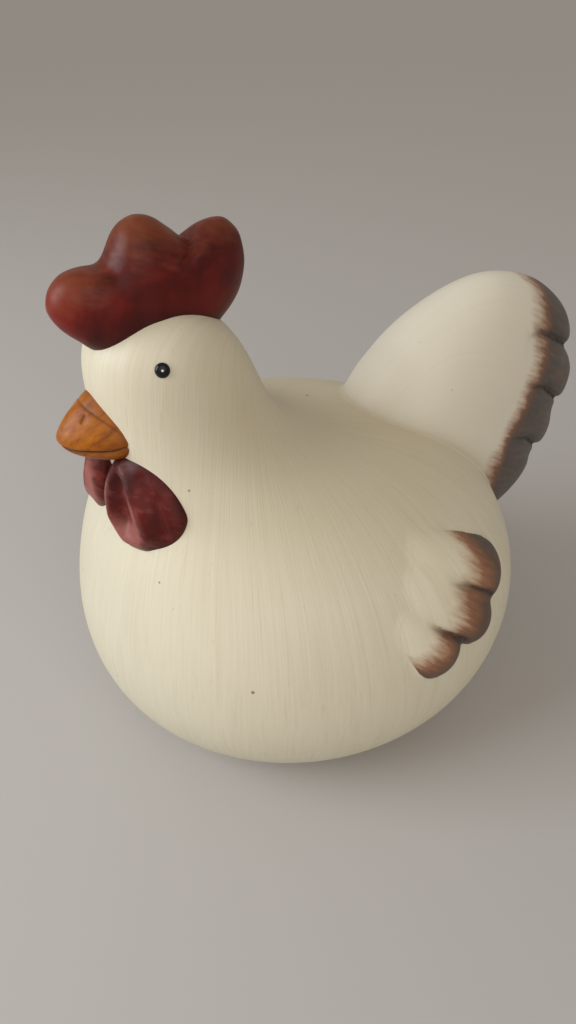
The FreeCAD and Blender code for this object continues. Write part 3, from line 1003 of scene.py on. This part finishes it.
# %% [markdown]
# The feather tips were dry-brushed over the cream: first orange brown, then a brown that is nearly black
# towards the rim, with strokes that run with the feather. The stored tip value is roughened by a noise
# drawn out along the feather, and a ramp turns it into the paints in their order.


# %% Tipped paint
def tipped_paint(name, slope, black, pale):
    """Cream paint with dry-brushed tips.

    The slope is that of the feathers, in degrees. Where tip reaches black, the paint is dark brown. Pale
    is how much whiter the cream is than on the body.
    """
    finish, tree, shader, coords = new_finish(name)
    cream_colour, rough, height = cream_paint(tree, coords, feathered=True)
    cream_colour = mix(tree, pale, cream_colour, (0.800, 0.765, 0.670, 1))
    # near the tail's root the cream turns brown: a brown wash with painted shade of the crease where the tail
    # meets the body
    root_wash_and_shade = maths(tree, "MULTIPLY", stored(tree, "foot"), pale)
    cream_colour = mix(tree, root_wash_and_shade, cream_colour, (0.330, 0.270, 0.160, 1))
    strokes = noise(tree, stretched(tree, coords, (120, 30, 330), (math.radians(slope), 0, 0)), 1.0, 4.0, 0.6)
    cloud = noise(tree, coords, 42.0, 2.0)
    ragged = maths(tree, "MULTIPLY_ADD", maths(tree, "SUBTRACT", strokes, 0.5), 0.42, stored(tree, "tip"))
    ragged = maths(tree, "MULTIPLY_ADD", maths(tree, "SUBTRACT", cloud, 0.5), 0.34, ragged)
    cover = maths(tree, "MULTIPLY", grey(tree, ragged, (0.03, 0), (0.40, 0.95)),
                  grey(tree, stored(tree, "tip"), (0.0, 0), (0.12, 1)))
    paints = ramp(tree, ragged, (black * 0.10, (0.520, 0.330, 0.210)), (black * 0.45, (0.340, 0.140, 0.062)),
                  (black * 0.75, (0.175, 0.065, 0.028)), (black, (0.062, 0.030, 0.020)),
                  (black + 0.20, (0.040, 0.031, 0.030)))
    paints = mix(tree, grey(tree, strokes, (0.46, 0), (0.70, 0.55)), paints, (0.150, 0.070, 0.040, 1))
    colour = mix(tree, cover, cream_colour, paints)
    # the creases are darkened to near black: dark paint in them and painted shade in the crease together
    line_share = grey(tree, stored(tree, "tip"), (0.0, 0.25), (0.3, 1))
    line = maths(tree, "MULTIPLY", stored(tree, "line"), line_share)
    line = maths(tree, "MULTIPLY", line, 0.85, clamp=True)
    colour = mix(tree, line, colour, (0.022, 0.012, 0.008, 1))
    rough = mix(tree, cover, rough, (0.42, 0.42, 0.42, 1))
    height = maths(tree, "MULTIPLY_ADD", strokes, 0.5, height)
    finish_surface(tree, shader, colour, rough, height, 0.5 * MM, 0.38)
    return finish


tail_paint = tipped_paint("tail_tipped_paint", 30, 0.56, 0.55)
wing_paint = tipped_paint("wing_tipped_paint", 40, 0.72, 0.0)
print("tipped paint for", tail_paint.name, wing_paint.name)

# %% [markdown]
# Comb and wattles have a dark red paint with more gloss. It is nearly black where it meets the cream, and
# rubbed with ochre and rose on what stands proud, so the stored foot and rub values steer it.

# %% Red paint
red, tree, shader, coords = new_finish("red_paint")
cloud = noise(tree, coords, 26.0, 3.0, 0.6, 0.4)
brushed = noise(tree, stretched(tree, coords, (190, 60, 260), (math.radians(20), 0, 0)), 1.0, 4.0, 0.6)
colour = ramp(tree, cloud, (0.34, (0.045, 0.006, 0.005)), (0.50, (0.095, 0.008, 0.006)),
              (0.68, (0.190, 0.014, 0.010)))
rubbed = maths(tree, "MULTIPLY_ADD", maths(tree, "SUBTRACT", brushed, 0.5), 0.8, stored(tree, "rub"))
rubbed = maths(tree, "MULTIPLY_ADD", maths(tree, "SUBTRACT", cloud, 0.5), 0.9, rubbed)
rub_colour = mix(tree, stored(tree, "rose"), (0.200, 0.060, 0.022, 1), (0.400, 0.140, 0.115, 1))
colour = mix(tree, grey(tree, rubbed, (0.30, 0), (1.05, 0.80)), colour, rub_colour)
dark = maths(tree, "MAXIMUM", maths(tree, "MULTIPLY", stored(tree, "foot"), 0.80),
             maths(tree, "MULTIPLY", stored(tree, "line"), 0.35))
colour = mix(tree, dark, colour, (0.040, 0.006, 0.005, 1))
rough = grey(tree, brushed, (0.3, 0.44), (0.7, 0.34))
finish_surface(tree, shader, colour, rough, brushed, 0.4 * MM, 0.20)
print("red paint has", len(tree.nodes), "nodes")

# %% [markdown]
# The beak is ochre with brown strokes that run from the face to the tip, and brown left in the mouth line
# and the nostrils. The eyes are black glaze, glossy like glass, with a dot of white.

# %% Ochre paint and black glaze
ochre, tree, shader, coords = new_finish("ochre_paint")
brushed = noise(tree, stretched(tree, coords, (210, 40, 210), (math.radians(-20), 0, 0)), 1.0, 4.0, 0.65)
cloud = noise(tree, coords, 60.0, 3.0, 0.6)
colour = ramp(tree, brushed, (0.30, (0.210, 0.052, 0.002)), (0.48, (0.350, 0.100, 0.004)),
              (0.68, (0.440, 0.145, 0.008)))
colour = mix(tree, grey(tree, cloud, (0.50, 0), (0.75, 0.55)), colour, (0.220, 0.058, 0.004, 1))
foot = maths(tree, "MULTIPLY", stored(tree, "foot"), 0.45)
colour = mix(tree, foot, colour, (0.160, 0.045, 0.010, 1))
line = maths(tree, "MULTIPLY", stored(tree, "line"), 0.9, clamp=True)
colour = mix(tree, line, colour, (0.060, 0.018, 0.006, 1))
rough = grey(tree, brushed, (0.3, 0.46), (0.7, 0.34))
finish_surface(tree, shader, colour, rough, brushed, 0.5 * MM, 0.25)

glaze, tree, shader, coords = new_finish("black_glaze")
faint = noise(tree, coords, 300.0, 2.0)
colour = ramp(tree, faint, (0.3, (0.004, 0.004, 0.006)), (0.7, (0.009, 0.009, 0.012)))
colour = mix(tree, stored(tree, "line"), colour, (0.80, 0.80, 0.80, 1))
tree.links.new(colour, shader.inputs["Base Color"])
tree.links.new(grey(tree, faint, (0.3, 0.10), (0.7, 0.16)), shader.inputs["Roughness"])
shader.inputs["Specular IOR Level"].default_value = 0.3
print("ochre paint and glaze ready")

# %% [markdown]
# ## Put it together
# Each piece gets its finish, is shaded smooth except over sharp edges, and is tied to the frame: it rides
# on the one body and stands for its imported node.

# %% Finish and tie each piece
PIECES = [
    (body, cream, "body_shell", "cream_paint"),
    (tail, tail_paint, "tail", "tipped_paint"),
    (kept["hen_wing_left"], wing_paint, "wing_left", "tipped_paint"),
    (kept["hen_wing_right"], wing_paint, "wing_right", "tipped_paint"),
    (comb, red, "comb", "red_paint"),
    (beak, ochre, "beak", "ochre_paint"),
    (wattle, red, "wattle_left", "red_paint"),
    (other_wattle, red, "wattle_right", "red_paint"),
    (eye, glaze, "eye_left", "black_glaze"),
    (other_eye, glaze, "eye_right", "black_glaze")]
for tool in (form, parting, bedding, hollow, lump):
    bpy.data.objects.remove(tool)
for piece, finish, node, slot in PIECES:
    piece.data.materials.clear()
    piece.data.materials.append(finish)
    take(piece)
    bpy.ops.object.shade_smooth_by_angle(angle=math.radians(50))
    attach(piece, "root")
    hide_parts(node)
    print(piece.name, triangles(piece), "triangles")

# %% [markdown]
# Last, the scene is brought up to date.

# %% Update the scene
bpy.context.view_layer.update()
